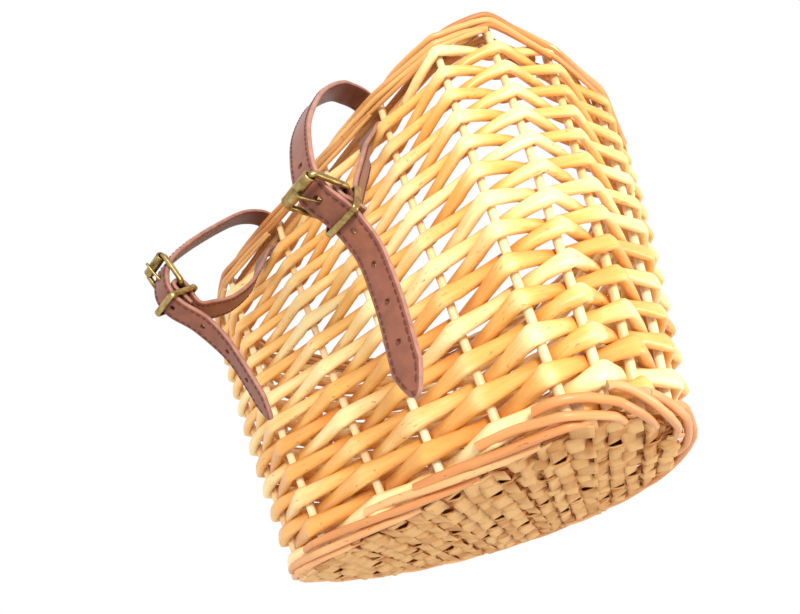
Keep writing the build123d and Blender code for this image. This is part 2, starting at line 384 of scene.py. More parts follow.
def willow_material(name, dark, middle, light, speck, gloss=(0.34, 0.52), speck_amount=0.64):
    """Peeled, varnished willow: long grain, a change of tone rod by rod, specks and scuffs; on the
    woven rods the tone also carries painted highlight and shade.
    """
    n = Nodes(name, Specular_IOR_Level=0.4, Coat_Weight=0.35, Coat_Roughness=0.26)
    fibre, tone = n.attribute("fibre"), n.attribute("tone", "Fac")
    grain = n.streaks(fibre, (1.6, 1.6, 0.06), 4.0, 0.6)
    cloud = n.streaks(fibre, (0.25, 0.25, 0.045), 3.0, 0.5)
    mixed = n.math("ADD", n.math("MULTIPLY", tone, 0.45),
                   n.math("ADD", n.math("MULTIPLY", grain, 0.22),
                          n.math("MULTIPLY", cloud, 0.42)))
    colour = n.ramp(mixed, ((0.22, dark), (0.5, middle), (0.8, light)))
    spots = n.streaks(fibre, (0.9, 0.9, 0.32), 2.0, 0.5)
    speckle = n.ramp(spots, ((speck_amount, grey(0)), (speck_amount + 0.06, grey(1))))
    patch = n.streaks(fibre, (0.12, 0.12, 0.05), 1.0, 0.5)
    patchy = n.ramp(patch, ((0.48, grey(0)), (0.6, grey(1))))
    colour = n.mix(n.math("MULTIPLY", n.math("MULTIPLY", speckle, patchy), 0.6), colour, speck)
    rough = n.spread(grain, gloss[0], gloss[1])
    normal = n.bump(grain, 0.35, 0.0005)
    normal = n.bump(spots, 0.2, 0.0006, normal)
    return n.finish(colour, rough, normal)


def split_material():
    """Split willow skein: matte, with open fibres and weathered streaks; its tone also carries
    painted shade in the hollows of the base.
    """
    n = Nodes("split_willow_strip", Specular_IOR_Level=0.2)
    fibre, tone = n.attribute("fibre"), n.attribute("tone", "Fac")
    grain = n.streaks(fibre, (2.2, 2.2, 0.05), 5.0, 0.65)
    cloud = n.streaks(fibre, (0.3, 0.3, 0.08), 3.0, 0.5)
    mixed = n.math("ADD", n.math("MULTIPLY", tone, 0.5),
                   n.math("ADD", n.math("MULTIPLY", grain, 0.3),
                          n.math("MULTIPLY", cloud, 0.3)))
    colour = n.ramp(mixed, ((0.26, srgb(150, 84, 34)), (0.54, srgb(194, 134, 74)),
                            (0.82, srgb(224, 176, 116))))
    rough = n.spread(grain, 0.6, 0.85)
    return n.finish(colour, rough, n.bump(grain, 0.5, 0.0005))


def pith_material():
    """The pale cut end of a rod, with its rings and a dark middle."""
    n = Nodes("willow_cut_end", Specular_IOR_Level=0.15)
    fibre = n.attribute("fibre")
    flat = n.stretch(fibre, (1.0, 1.0, 0.0))
    rings = n.node("ShaderNodeTexWave", {"Vector": flat, "Scale": 1.4, "Distortion": 2.0},
                   wave_type="RINGS").outputs[1]
    colour = n.ramp(rings, ((0.1, srgb(196, 150, 104)), (0.9, srgb(235, 205, 160))))
    rough = n.spread(rings, 0.7, 0.85)
    return n.finish(colour, rough, n.bump(rings, 0.4, 0.0004))


def leather_material(name, dark, light, grain_strength, crease):
    """Bridle leather: fine pebbled grain, cloudy dye and pulled-up creases."""
    n = Nodes(name, Specular_IOR_Level=0.42, Sheen_Weight=0.08, Sheen_Roughness=0.5)
    fibre = n.attribute("fibre")
    pebble = n.node("ShaderNodeTexVoronoi", {"Vector": fibre, "Scale": 2.6},
                    feature="SMOOTH_F1").outputs[0]
    fine = n.noise(fibre, 3.2, 4.0, 0.6)
    cloud = n.noise(fibre, 0.22, 3.0, 0.55)
    long = n.streaks(fibre, (0.25, 1.6, 0.25), 3.0, 0.5)
    mixed = n.math("ADD", n.math("MULTIPLY", cloud, 0.65), n.math("MULTIPLY", fine, 0.35))
    colour = n.ramp(mixed, ((0.3, dark), (0.72, light)))
    rough = n.spread(mixed, 0.36, 0.6)
    normal = n.bump(pebble, grain_strength, 0.0003)
    normal = n.bump(long, crease, 0.0004, normal)
    return n.finish(colour, rough, normal)


def brass_material():
    """Antiqued brass: rubbed bright on the crowns, brown in the recesses, finely scratched."""
    n = Nodes("antique_brass", Metallic=1.0)
    place = n.node("ShaderNodeTexCoord").outputs["Object"]
    cloud = n.noise(place, 260.0, 4.0, 0.6)
    scratch = n.streaks(place, (2600.0, 300.0, 900.0), 2.0, 0.5)
    shade = n.node("ShaderNodeAmbientOcclusion", {"Distance": 0.0025}, samples=6).outputs["AO"]
    mixed = n.math("MULTIPLY", n.math("ADD", n.math("MULTIPLY", cloud, 0.7),
                                      n.math("MULTIPLY", scratch, 0.3)), shade)
    colour = n.ramp(mixed, ((0.14, srgb(62, 46, 26)), (0.38, srgb(134, 110, 62)),
                            (0.64, srgb(204, 178, 118))))
    rough = n.spread(scratch, 0.24, 0.44)
    return n.finish(colour, rough, n.bump(scratch, 0.15, 0.0001))


def thread_material():
    """Waxed thread: fine slanting ply."""
    n = Nodes("waxed_thread", Specular_IOR_Level=0.3)
    fibre = n.attribute("fibre")
    ply = n.streaks(fibre, (3.0, 3.0, 1.2), 3.0, 0.5)
    colour = n.ramp(ply, ((0.3, srgb(66, 30, 26)), (0.7, srgb(112, 62, 52))))
    rough = n.spread(ply, 0.5, 0.7)
    return n.finish(colour, rough, n.bump(ply, 0.4, 0.0002))


willow = willow_material("willow_rod", srgb(218, 140, 58), srgb(238, 176, 88),
                         srgb(250, 224, 160), srgb(146, 92, 46))
upright_willow = willow_material("willow_stake", srgb(222, 164, 100), srgb(242, 204, 146),
                                 srgb(250, 230, 184), srgb(150, 102, 60))
rim_willow = willow_material("willow_rim", srgb(170, 96, 38), srgb(204, 138, 70),
                             srgb(232, 180, 108), srgb(112, 66, 32))
border_willow = willow_material("willow_border", srgb(200, 122, 62), srgb(220, 150, 88),
                                srgb(240, 184, 124), srgb(124, 76, 40), (0.5, 0.7))
pith = pith_material()
strip = split_material()
leather = leather_material("leather_face", srgb(114, 62, 42), srgb(148, 86, 60), 0.16, 0.15)
leather_inside = leather_material("leather_back", srgb(88, 44, 24), srgb(124, 68, 42), 0.4, 0.1)
leather_edge = leather_material("leather_cut_edge", srgb(146, 94, 76), srgb(184, 132, 112), 0.4, 0.6)
brass = brass_material()
thread = thread_material()


# ---- the weave ---------------------------------------------------------------------------
# how far the top row stands above level at the stakes from the left corner to the right one
climb = (1.0, -0.5, -0.7, 0.4, 1.4, 4.9, 8.3, 11.8)
tight = 0.13                  # how much further apart the rows lie on the climbing side
kink = 0.02                  # half length of a rod's bend over a stake, in stake gaps
rod_waist = 0.71              # a rod's height half way between two stakes, as a share of its full one
rod_depth = 0.62              # its depth there, as a share of that full height
end_lift, end_samples = 0.9, 6     # how far a rod's two ends part from its row, over how many samples
highlight_stake, highlight_reach = 5.3, 1.3  # where the painted highlight on the rods is strongest, and how far round that reaches
gap_shares = (0.0, 0.03, 0.07, 0.13, 0.22, 0.35, 0.5, 0.65, 0.78, 0.87, 0.93, 0.97)


def rise(number):
    """How far the top row stands above level at a stake number."""
    n = number % stake_total
    last = len(climb) - 1
    if n <= last:
        low = min(int(n), last - 1)
        return climb[low] + (climb[low + 1] - climb[low]) * (n - low)
    share = (n - last) / (stake_total - last)
    return climb[0] + (climb[-1] - climb[0]) * (1 + cos(pi * share)) / 2


def row_height(row, number):
    """The height of a row at a stake number."""
    climbing = min(1.0, max(0.0, rise(number) / climb[5]))
    return (first_row_z + row * row_pitch + rise(number)
            - (row_count - 1 - row) * tight * climbing)


def crest(number):
    """1 at a stake and 0 half way between two, with a short round top."""
    t = number - floor(number + 0.5)
    return 1 - (sqrt(t * t + kink * kink) - kink) / (sqrt(0.25 + kink * kink) - kink)


def in_front(row, number):
    """1 where the nearest stake is behind the rod, -1 where it is in front."""
    return 1 if (floor(number + 0.5) % stake_total + row) % 2 == 0 else -1


def numbers_between(first, last):
    """Stake numbers to sample a rod at, close together at the stakes."""
    numbers = [first]
    for whole in range(floor(first), ceil(last)):
        numbers += [whole + share for share in gap_shares if first < whole + share < last]
    return numbers + [last]


def weave_rod(shape, row, first, last, rng, butt, tip, drift=0.0):
    """A rod that passes in front of one stake and behind the next, folded hard at each."""
    seed = rng.uniform(0, 100)
    numbers = numbers_between(first, last)
    path = []
    for number in numbers:
        out = weave_offset * in_front(row, number) * crest(number)
        out += 0.3 * waver(number * 0.9, row * 3.1, seed)
        z = row_height(row, number) + drift
        z += 0.8 * waver(number * 0.55, row * 7.7, seed + 9)
        path.append(wall_at(number, z, out))
    for end in range(end_samples):
        part = Vector((0, 0, end_lift * (1 - end / end_samples)))
        path[end] += part
        path[-1 - end] -= part

    def size(i, share):
        high = butt + (tip - butt) * share
        c = crest(numbers[i])
        fold = exp(-((numbers[i] - floor(numbers[i] + 0.5)) / 0.05) ** 2)
        return high * (rod_waist + (1 - rod_waist) * c), high * (rod_depth - 0.08 * c - 0.06 * fold)

    # painted light: a painted highlight on the crest where a rod passes in front of a stake,
    # strongest round the right corner, and painted shade where it passes behind one
    def painted_highlight_and_shade(i):
        c = crest(numbers[i])
        corner = (numbers[i] % stake_total - highlight_stake) / highlight_reach
        painted_highlight = 0.22 + 0.4 * exp(-corner * corner)
        return painted_highlight * c ** 3 if in_front(row, numbers[i]) > 0 else -0.45 * c

    rod(shape, path, size, rng, painted_highlight_and_shade=painted_highlight_and_shade, square=2.6)


def weaving_row(row):
    """One row: rods laid end to end, butt and tip tucked inside behind a stake."""
    rng = Random(1000 + row)
    shape = Shape()
    thick = 4.3 - 1.05 * row / (row_count - 1)
    inside = [n for n in range(8, stake_total) if (n + row) % 2 == 1]
    start = rng.choice(inside)
    half = rng.choice([n for n in inside if abs(n - start) >= 4])
    first, second = sorted((start, half))
    for low, high in ((first, second), (second, first + stake_total)):
        weave_rod(shape, row, low - 0.22, high + 0.3, rng, thick * rng.uniform(1.0, 1.07),
                  thick * rng.uniform(0.86, 0.95))
    return shape.build("row_%02d_rods" % (row + 1), (willow, pith))


def packing_rods():
    """Short rods worked in low on the right, under the rows that climb there."""
    rng = Random(77)
    shape = Shape()
    weave_rod(shape, -1, 5.3, 14.3, rng, 3.0, 2.2, 0.4)
    weave_rod(shape, -2, 6.2, 11.4, rng, 2.6, 2.0, 2.2)
    return shape.build("packing_rods", (willow, pith))


stake_foot, stake_radius, stake_samples = 4.6, 1.75, 60
# the height of the rim's top edge at the stakes from the left corner to the right one
rim_line = (174.5, 175.5, 176.0, 176.0, 175.0, 172.5, 181.0, 173.0)


def rim_top(number):
    """The height of the middle of the rim's top rod at a stake number."""
    n = number % stake_total
    line = rim_line + (173.5,) * (stake_total - len(rim_line)) + rim_line[:1]
    low = floor(n)
    return line[low] + (line[low + 1] - line[low]) * (n - low) - 2.0


def stake_group(name, numbers):
    """Upright stakes, each bowed a little and cut under the border."""
    shape = Shape()
    for number in numbers:
        rng = Random(300 + number)
        path = []
        for i in range(stake_samples + 1):
            z = stake_foot + (rim_top(number) - 5.0 - stake_foot) * i / stake_samples
            sway = 0.5 * waver(z * 0.02, number * 5.3, 0.5)
            path.append(wall_point(spot(number), z, 0.2) + Vector((sway, 0, 0)))
        rod(shape, path, lambda i, t: (stake_radius - 0.15 * t,) * 2, rng, upright=True,
            knots=0.01)
    return shape.build(name, (upright_willow, pith))


def curve_through(knots, steps):
    """A smooth run through (number, z, out) knots, as closely spaced ones."""
    padded = [knots[0]] + list(knots) + [knots[-1]]
    run = []
    for a, b, c, d in zip(padded, padded[1:], padded[2:], padded[3:]):
        for i in range(steps):
            t = i / steps
            run.append(tuple(0.5 * (2 * q + (r - p) * t + (2 * p - 5 * q + 4 * r - s) * t ** 2
                                    + (3 * q - p - 3 * r + s) * t ** 3)
                             for p, q, r, s in zip(a, b, c, d)))
    return run + [tuple(knots[-1])]


def border_rod(shape, knots, rng, straight, butt, tip, steps=9):
    """A border rod through (number, z, out) knots."""
    path = [wall_at(n, z, out, straight) for n, z, out in curve_through(knots, steps)]
    rod(shape, soften(path, 1), lambda i, t: (butt + (tip - butt) * t,) * 2, rng, knots=0.03)


def rim_rod(shape, number):
    """A stake's own top and its thinner mate, laid over to the right and pushed down."""
    rng = Random(500 + number)
    for below, butt, tip in ((0.0, 1.7, 1.3), (2.5, 1.3, 1.0)):
        knots = []
        for ahead, drop, out in ((0.0, 12.0, -0.3), (0.0, 5.0, -0.4), (0.06, 1.0, 0.0),
                                 (0.4, 0.0, 1.8), (1.0, 3.9, 3.9), (1.5, 6.4, 4.4),
                                 (2.0, 8.8, 4.7), (2.5, 10.6, 4.6), (2.9, 11.8, 4.3)):
            wander = rng.uniform(-0.7, 0.7) if ahead > 0.1 else 0.0
            lower = below * min(1.0, ahead / 0.6, (3.3 - ahead) / 1.4)
            knots.append((number + ahead, rim_top(number + ahead) - drop - lower + wander,
                          out - 0.25 * lower))
        border_rod(shape, knots, rng, 0.86, butt, tip)


def inner_rim_rod(shape, number):
    """A rod laid along the inside of the rim, rising to the right."""
    rng = Random(600 + number)
    knots = [(number + ahead, rim_top(number + ahead) - drop + rng.uniform(-0.4, 0.4), out)
             for ahead, drop, out in ((-0.1, 12.5, -4.3), (0.5, 9.6, -4.6), (1.0, 7.0, -4.7),
                                      (1.5, 4.4, -4.5), (1.9, 2.4, -4.2))]
    border_rod(shape, knots, rng, 0.95, 2.0, 1.8)


def border_group(name, numbers, make, material):
    """The rods of a border that start at the given stakes, as one piece."""
    shape = Shape()
    for number in numbers:
        make(shape, number)
    return shape.build(name, (material, pith))


def foot_rod(shape, number):
    """A border rod at the foot: a blunt butt on the wall, running right and under the edge."""
    rng = Random(700 + number)
    high = 7.4 + 2.2 * max(0.0, 1 - abs(number - 6) / 2.5) + rng.uniform(-0.8, 0.8)
    start = number - 0.2 + rng.uniform(-0.12, 0.08)
    knots = ((start, high, 5.6), (number + 0.35, high - 1.2, 5.8),
             (number + 1.0, high * 0.52, 5.4), (number + 1.6, 2.5, 4.2),
             (number + 2.15, 1.8, 1.6), (number + 2.5, 2.2, -0.8))
    border_rod(shape, knots, rng, 0.75, 1.62 + rng.uniform(0, 0.2), 1.35)


def inner_foot_rod():
    """The rod that the base strips end on, inside the foot of the wall."""
    rng = Random(811)
    shape = Shape()
    path = [wall_at(i / 8, 4.8, -3.6, 0.3) for i in range(-4, 8 * stake_total - 3)]
    rod(shape, path, (1.9, 1.9), rng, knots=0.01)
    return shape.build("inner_foot_rod", (border_willow, pith))


# ---- the plaited base --------------------------------------------------------------------
base_inset = 1.0
base_z = 2.2
strip_thick = 0.65
weft_pitch, warp_pitch = 7.4, 6.6     # from strip to strip in the two families
strip_reach, strip_step = 17, 0.8     # strips on each side of the middle one; a strip's sample length
outline_samples = 60


def base_outline():
    """Flat points round the foot, a little inside it."""
    length = half_girth(foot_shape)
    points = [wall_point((length * i / outline_samples, 0), foot_z, -base_inset)
              for i in range(-outline_samples, outline_samples)]
    return [(p.x, p.y) for p in points]


def crossings(start, way, shape):
    """How far along a line it enters and leaves a closed flat outline."""
    hits = []
    for (x0, y0), (x1, y1) in zip(shape, shape[1:] + shape[:1]):
        ex, ey = x1 - x0, y1 - y0
        det = way[0] * ey - way[1] * ex
        if abs(det) < 1e-9:
            continue
        dx, dy = x0 - start[0], y0 - start[1]
        along, share = (dx * ey - dy * ex) / det, (dx * way[1] - dy * way[0]) / det
        if 0 <= share < 1:
            hits.append(along)
    return sorted(hits)


def warp_below(warp, weft):
    """Whether a warp strip passes below a weft strip: under two, over one, stepping along."""
    return (warp + weft) % 3 != 2


def strip_level(index, along, is_warp):
    """-1 where a strip lies below the family that crosses it and 1 where it lies above."""
    steps = along / (weft_pitch if is_warp else -warp_pitch)
    low = floor(steps)

    def level(other):
        below = warp_below(index, other) if is_warp else not warp_below(other, index)
        return -1.0 if below else 1.0

    share = ease((steps - low - 0.28) / 0.44)
    return level(low) + (level(low + 1) - level(low)) * share


def base_strips(name, is_warp, angle, width, seed):
    """One family of split strips of the twilled base."""
    rng = Random(seed)
    shape, rim = Shape(), base_outline()
    middle = (0.0, 20.0)
    pitch = warp_pitch if is_warp else weft_pitch
    for i in range(-strip_reach, strip_reach + 1):
        turn = angle + rng.uniform(-0.035, 0.035)
        way = (cos(turn), sin(turn))
        aside = (-way[1], way[0])
        shift = i * pitch + rng.uniform(-0.7, 0.7)
        start = (middle[0] - sin(angle) * shift, middle[1] + cos(angle) * shift)
        hits = crossings(start, way, rim)
        if len(hits) < 2 or hits[-1] - hits[0] < 6:
            continue
        w = width * rng.uniform(0.78, 1.08)
        tilt = rng.uniform(0.14, 0.4) * rng.choice((1, 1, 1, -1))
        tone = 0.3 + 0.4 * rng.random()
        count = max(4, int((hits[-1] - hits[0]) / strip_step))
        rings, grain, tones = [], [], []
        wander = rng.uniform(0, 50)
        for k in range(count + 1):
            along = hits[0] + (hits[-1] - hits[0]) * k / count
            level = strip_level(i, along, is_warp)
            side = 0.7 * waver(along * 0.06, i * 3.3, wander)
            lift = 0.4 * waver(along * 0.16, i * 1.7, wander + 5)
            z = base_z + 0.8 * level + lift
            p = Vector((start[0] + way[0] * along + aside[0] * side,
                        start[1] + way[1] * along + aside[1] * side, z))
            across, up = Vector((aside[0], aside[1], 0)), Vector((0, 0, 1))
            lean_now = tilt * max(-0.3, -level)
            lean_now += 0.12 * waver(along * 0.12, i * 2.9, wander + 11)
            spread = w / 2 * (1 - 0.12 * max(0.0, level))
            spread *= 1 + 0.05 * waver(along * 0.2, i * 4.1, wander + 17)
            ring, line = [], []
            for u, v in ((-1, -0.5), (-0.5, -0.66), (0, -0.74), (0.5, -0.66), (1, -0.5),
                         (1, 0.5), (0.5, 0.34), (0, 0.26), (-0.5, 0.34), (-1, 0.5)):
                x = u * spread
                q = p + across * x + up * (v * strip_thick - x * lean_now)
                q.z = max(q.z, 0.05)
                ring.append(q)
                line.append((x + i * 9.1, v * strip_thick, along + i * 31.7))
            rings.append(ring)
            grain.append(line)
            # the strip's own tone with a random change along it, less where the strip lies higher:
            # painted shade in the hollows of the underside
            piece_tone = waver(along * 0.09, i * 6.1, wander + 23)
            tones.append(tone + 0.5 * piece_tone - 0.4 * level)
        shape.loft(rings, grain, tones, 0, 0)
    return shape.build(name, (strip,))


# ---- straps ------------------------------------------------------------------------------
strap_width, strap_thick, play = 12.0, 1.85, 0.3
bar_radius, roller_inner, roller_outer = 1.1, 1.18, 2.1
frame_half_width = 7.7
keeper_reach, keeper_past_bar = (-5.0, 8.9), 3.6
fold_radius, fold_length = strap_thick / 2 + bar_radius + 0.6, 9.0
hole_radius, hole_pitch, free_holes, tip_length = 1.1, 15.0, 4, 9.0
# places are (distance out from the wall's foot, height)
wrap = ((33.4, 141), (31.4, 148.5), (27.6, 155.3), (22.4, 160.3), (17.8, 164.8), (16, 170.3),
        (20, 177.8), (28.5, 181.3), (37, 178.3))
straps = {
    "right": {"x": 55.0, "bar": (61.1, 84.1), "roller": (76.3, 80.5), "over_bar": (62.6, 78.9),
              "short": ((50.4, 86), (49.4, 94), (45.2, 106), (39.4, 121), (35.6, 132)),
              "twist": -0.82, "free_twist": 0.0,
              "loop": ((46, 171.5), (60, 148.8), (70, 120.8), (72.8, 101), (72.3, 86.5),
                       (68.7, 81)),
              "free": ((56, 74.8), (50, 65.8), (47.5, 52.3), (46.5, 40.3), (46.5, 24),
                       (45.5, 13))},
    "left": {"x": -35.0, "bar": (76.5, 106.1), "roller": (85.5, 118.3), "over_bar": (80.5, 102.5),
             "short": ((66.3, 99), (61, 102), (51, 109), (41.5, 121), (36.4, 132)),
             "twist": -0.25, "free_twist": 0.32,
             "loop": ((46, 171), (57, 157.5), (69, 140.8), (77.5, 127), (81.2, 118.5),
                      (82.2, 110)),
             "free": ((75.3, 97.3), (64, 93), (52, 82.8), (42, 68.8), (33, 52.8))},
}


def smooth(points, steps=8):
    """A smooth run through flat points, as closely spaced points."""
    return curve_through([tuple(p) for p in points], steps)


def unit(a, b):
    """The direction from one flat point to another."""
    size = hypot(b[0] - a[0], b[1] - a[1])
    return (b[0] - a[0]) / size, (b[1] - a[1]) / size


def step_from(point, *moves):
    """A flat point moved by (direction, distance) pairs."""
    return (point[0] + sum(d[0] * m for d, m in moves),
            point[1] + sum(d[1] * m for d, m in moves))


def buckle_axes(spec):
    """Across the strap, away from the loop, and along it, away from the roller."""
    across = unit(spec["bar"], spec["over_bar"])
    along = (across[1], -across[0])
    toward_roller = unit(spec["bar"], spec["roller"])
    if along[0] * toward_roller[0] + along[1] * toward_roller[1] > 0:
        along = (-along[0], -along[1])
    return across, along


def strap_line(spec):
    """The middle of the leather, from the end of its fold to the tip of its free end."""
    across, along = buckle_axes(spec)
    bar, half = spec["bar"], (strap_thick + play) / 2
    fold = [step_from(bar, (across, half), (along, fold_length)),
            step_from(bar, (across, half + 0.5), (along, fold_length / 2))]
    for i in range(9):
        turn = pi * i / 8
        fold.append(step_from(bar, (across, fold_radius * cos(turn)),
                              (along, -fold_radius * sin(turn))))
    fold += [step_from(bar, (across, -half - 0.5), (along, fold_length / 2)),
             step_from(bar, (across, -half), (along, fold_length))]
    rest = spec["short"] + wrap + spec["loop"] + (spec["over_bar"],) + spec["free"]
    return fold[:-2] + smooth(tuple(fold[-2:]) + rest)


def even(line, step=0.8):
    """The same flat line, as points an even step apart."""
    lengths = [0.0]
    for a, b in zip(line, line[1:]):
        lengths.append(lengths[-1] + hypot(b[0] - a[0], b[1] - a[1]))
    count = int(lengths[-1] / step)
    points, k = [], 0
    for i in range(count + 1):
        want = lengths[-1] * i / count
        while k < len(line) - 2 and lengths[k + 1] < want:
            k += 1
        span = lengths[k + 1] - lengths[k] or 1.0
        t = (want - lengths[k]) / span
        points.append((line[k][0] + (line[k + 1][0] - line[k][0]) * t,
                       line[k][1] + (line[k + 1][1] - line[k][1]) * t))
    for _ in range(3):
        points = ([points[0]] + [((a[0] + 2 * b[0] + c[0]) / 4, (a[1] + 2 * b[1] + c[1]) / 4)
                                 for a, b, c in zip(points, points[1:], points[2:])]
                  + [points[-1]])
    return points


def place(x, point):
    """A strap point in the object's frame."""
    return Vector((x, back_y - point[0], point[1]))


def half_width(left):
    """Half the strap's width at a length from its tip: a rounded point."""
    if left >= tip_length:
        return strap_width / 2
    share = max(left, 0.0) / tip_length
    return 1.0 + (strap_width / 2 - 1.0) * share ** 0.62


# lengths along the leather where its short end starts and stops to turn on edge
twist_run = (6.0, 26.0, 72.0, 96.0)


def twist_at(spec, length, total):
    """How far the leather has turned about its own length, at its short and its free end."""
    a, b, c, d = twist_run
    short = spec["twist"] * ease((length - a) / (b - a)) * (1 - ease((length - c) / (d - c)))
    return short + spec["free_twist"] * (1 - ease((total - length - 26.0) / 26.0))


def strap_frames(spec):
    """Middle, hair-side direction and length at each point along the leather."""
    line = even(strap_line(spec))
    frames, length = [], 0.0
    for i, point in enumerate(line):
        if i:
            length += hypot(point[0] - line[i - 1][0], point[1] - line[i - 1][1])
        way = unit(line[max(i - 1, 0)], line[min(i + 1, len(line) - 1)])
        frames.append((point, (-way[1], way[0]), length))
    return frames


def on_leather(spec, frame, total, across, height):
    """A point across from and above the leather's middle, turned as the leather is there."""
    point, hair, length = frame
    turn = twist_at(spec, length, total)
    side_way = across * cos(turn) - height * sin(turn)
    hair_way = across * sin(turn) + height * cos(turn)
    return place(spec["x"] + side_way, step_from(point, (hair, hair_way)))


# a cross-section of the leather: (share of half width, mm in from there, share of thickness)
strap_section = [(-1, 0.0, 0.0), (-1, 0.12, 0.62), (-1, 0.5, 0.96), (-1, 1.35, 1.0),
                 (-1, 1.7, 0.86), (-1, 2.05, 1.0), (-0.3, 0.0, 1.03), (0.3, 0.0, 1.03),
                 (1, 2.05, 1.0), (1, 1.7, 0.86), (1, 1.35, 1.0), (1, 0.5, 0.96),
                 (1, 0.12, 0.62), (1, 0.0, 0.0), (1, 0.12, -0.62), (1, 0.5, -0.96),
                 (1, 2.0, -1.0), (0.0, 0.0, -1.0), (-1, 2.0, -1.0), (-1, 0.5, -0.96),
                 (-1, 0.12, -0.62)]
# which material each side of that section has: hair side 0, flesh side 1, cut edge 2
section_slots = [2, 2] + [0] * 9 + [2, 2, 2, 2] + [1] * 4 + [2, 2]


def strap_leather(side, spec):
    """The strap as one strip of leather, with punched holes and a slot for the prong."""
    frames = strap_frames(spec)
    total = frames[-1][2]
    shape = Shape()
    rows = []
    for frame in frames:
        length = frame[2]
        half = half_width(total - length)
        row = []
        for share, inset, up in strap_section:
            across = share * (max(half - inset, 0.15) if abs(share) == 1 else half)
            height = up * strap_thick / 2
            wave = 0.12 * waver(length * 0.06, across * 0.2, spec["x"])
            row.append(shape.add(on_leather(spec, frame, total, across, height + wave),
                                 (length, across, height), 0.5))
        rows.append(row)
    count = len(strap_section)
    for low, high in zip(rows, rows[1:]):
        for j in range(count):
            k = (j + 1) % count
            shape.face((low[j], low[k], high[k], high[j]), section_slots[j])
    shape.face(tuple(reversed(rows[0])), 2)
    shape.face(tuple(rows[-1]), 2)
    piece = shape.build(side + "_leather", (leather, leather_inside, leather_edge))
    cut_holes(piece, spec, frames)
    return piece


def nearest_frame(frames, target, from_length):
    """The frame nearest a flat point, past a given length."""
    return min((f for f in frames if f[2] >= from_length),
               key=lambda f: hypot(f[0][0] - target[0], f[0][1] - target[1]))


def prong_way(spec):
    """The direction and reach of the prong, from the bar over the outside of the roller."""
    bar, roller = spec["bar"], spec["roller"]
    ahead = unit(bar, roller)
    outside = (ahead[1], -ahead[0])
    over = spec["over_bar"]
    if outside[0] * (over[0] - bar[0]) + outside[1] * (over[1] - bar[1]) < 0:
        outside = (-outside[0], -outside[1])
    rest = step_from(roller, (outside, roller_outer + 0.85))
    return unit(bar, rest), hypot(rest[0] - bar[0], rest[1] - bar[1]), outside


def cylinder_cutter(bm, a, b, radius, sides=20):
    """Adds a closed cylinder from a to b, in millimetres."""
    axis = b - a
    turn = axis.to_track_quat("Z", "Y").to_matrix().to_4x4()
    where = Matrix.Translation((a + b) / 2 * MM) @ turn
    bmesh.ops.create_cone(bm, cap_ends=True, segments=sides, radius1=radius * MM,
                          radius2=radius * MM, depth=axis.length * MM, matrix=where)


def cut_holes(piece, spec, frames):
    """Punches the round holes, the prong's slot and the window for the prong's eye."""
    x, bar = spec["x"], spec["bar"]
    way, reach, _ = prong_way(spec)
    total = frames[-1][2]
    crossing = nearest_frame(frames, step_from(bar, (way, reach / 2)), total / 2)[2]
    bm = bmesh.new()
    for number in [-1] + list(range(1, free_holes + 1)):
        want = crossing + number * hole_pitch
        point, hair, _ = min(frames, key=lambda f: abs(f[2] - want))
        cylinder_cutter(bm, place(x, step_from(point, (hair, -2.5))),
                        place(x, step_from(point, (hair, 2.5))), hole_radius)
    across, _ = buckle_axes(spec)
    middle = step_from(bar, (way, reach * 0.5), (across, 0.3))
    cylinder_cutter(bm, place(x, step_from(middle, (way, -4.5))),
                    place(x, step_from(middle, (way, 4.5))), 1.3)
    cylinder_cutter(bm, place(x - 1.5, bar), place(x + 1.5, bar),
                    fold_radius + strap_thick / 2 + 0.5, 28)
    mesh = bpy.data.meshes.new("cutter")
    bm.to_mesh(mesh)
    bm.free()
    mesh.materials.append(leather_inside)
    cutter = add_object("cutter", mesh)
    modifier = piece.modifiers.new("holes", "BOOLEAN")
    modifier.operation, modifier.solver, modifier.object = "DIFFERENCE", "EXACT", cutter
    bpy.context.view_layer.update()
    graph = bpy.context.evaluated_depsgraph_get()
    cut = bpy.data.meshes.new_from_object(piece.evaluated_get(graph))
    piece.modifiers.clear()
    piece.data = cut
    bpy.data.objects.remove(cutter)


def strap_stitching(side, spec):
    """Two rows of waxed thread along the hair side, meeting round the point."""
    frames = strap_frames(spec)
    total = frames[-1][2]
    shape = Shape()
    pitch, run, inset, thread_radius = 2.9, 2.1, 1.7, 0.3
    angles = [2 * pi * j / 6 for j in range(6)]
    rng = Random(91 if side == "right" else 92)
    for sign in (-1, 1):
        number = 0
        start = 4.0
        while start < total - 4.6:
            ends = []
            for share in (0.0, 0.18, 0.5, 0.82, 1.0):
                want = start + run * share
                frame = frames[min(int(want / total * (len(frames) - 1)), len(frames) - 1)]
                sunk = 0.3 if share in (0.0, 1.0) else 0.0
                height = strap_thick / 2 * 0.92 + 0.16 * sin(pi * share) - sunk
                across = sign * max(half_width(total - frame[2]) - inset, 0.3)
                across += rng.uniform(-0.04, 0.04)
                ends.append(on_leather(spec, frame, total, across, height))
            rings, grain = [], []
            for p, w in zip(ends, directions(ends)):
                aside = Vector((1, 0, 0))
                up = aside.cross(w).normalized()
                rings.append([p + aside * thread_radius * cos(a) + up * thread_radius * sin(a)
                              for a in angles])
                grain.append([(cos(a), sin(a), number * 3.1 + p.z) for a in angles])
            shape.loft(rings, grain, 0.5, 0, 0)
            start += pitch
            number += 1
    return shape.build(side + "_stitching", (thread,))


# ---- buckles -----------------------------------------------------------------------------
# a corner's radius, and the wire's half thickness through the loop and in its plane
frame_corner, frame_wire = 1.9, (1.12, 1.0)
keeper_corner, keeper_wire = 1.6, (1.25, 0.62)


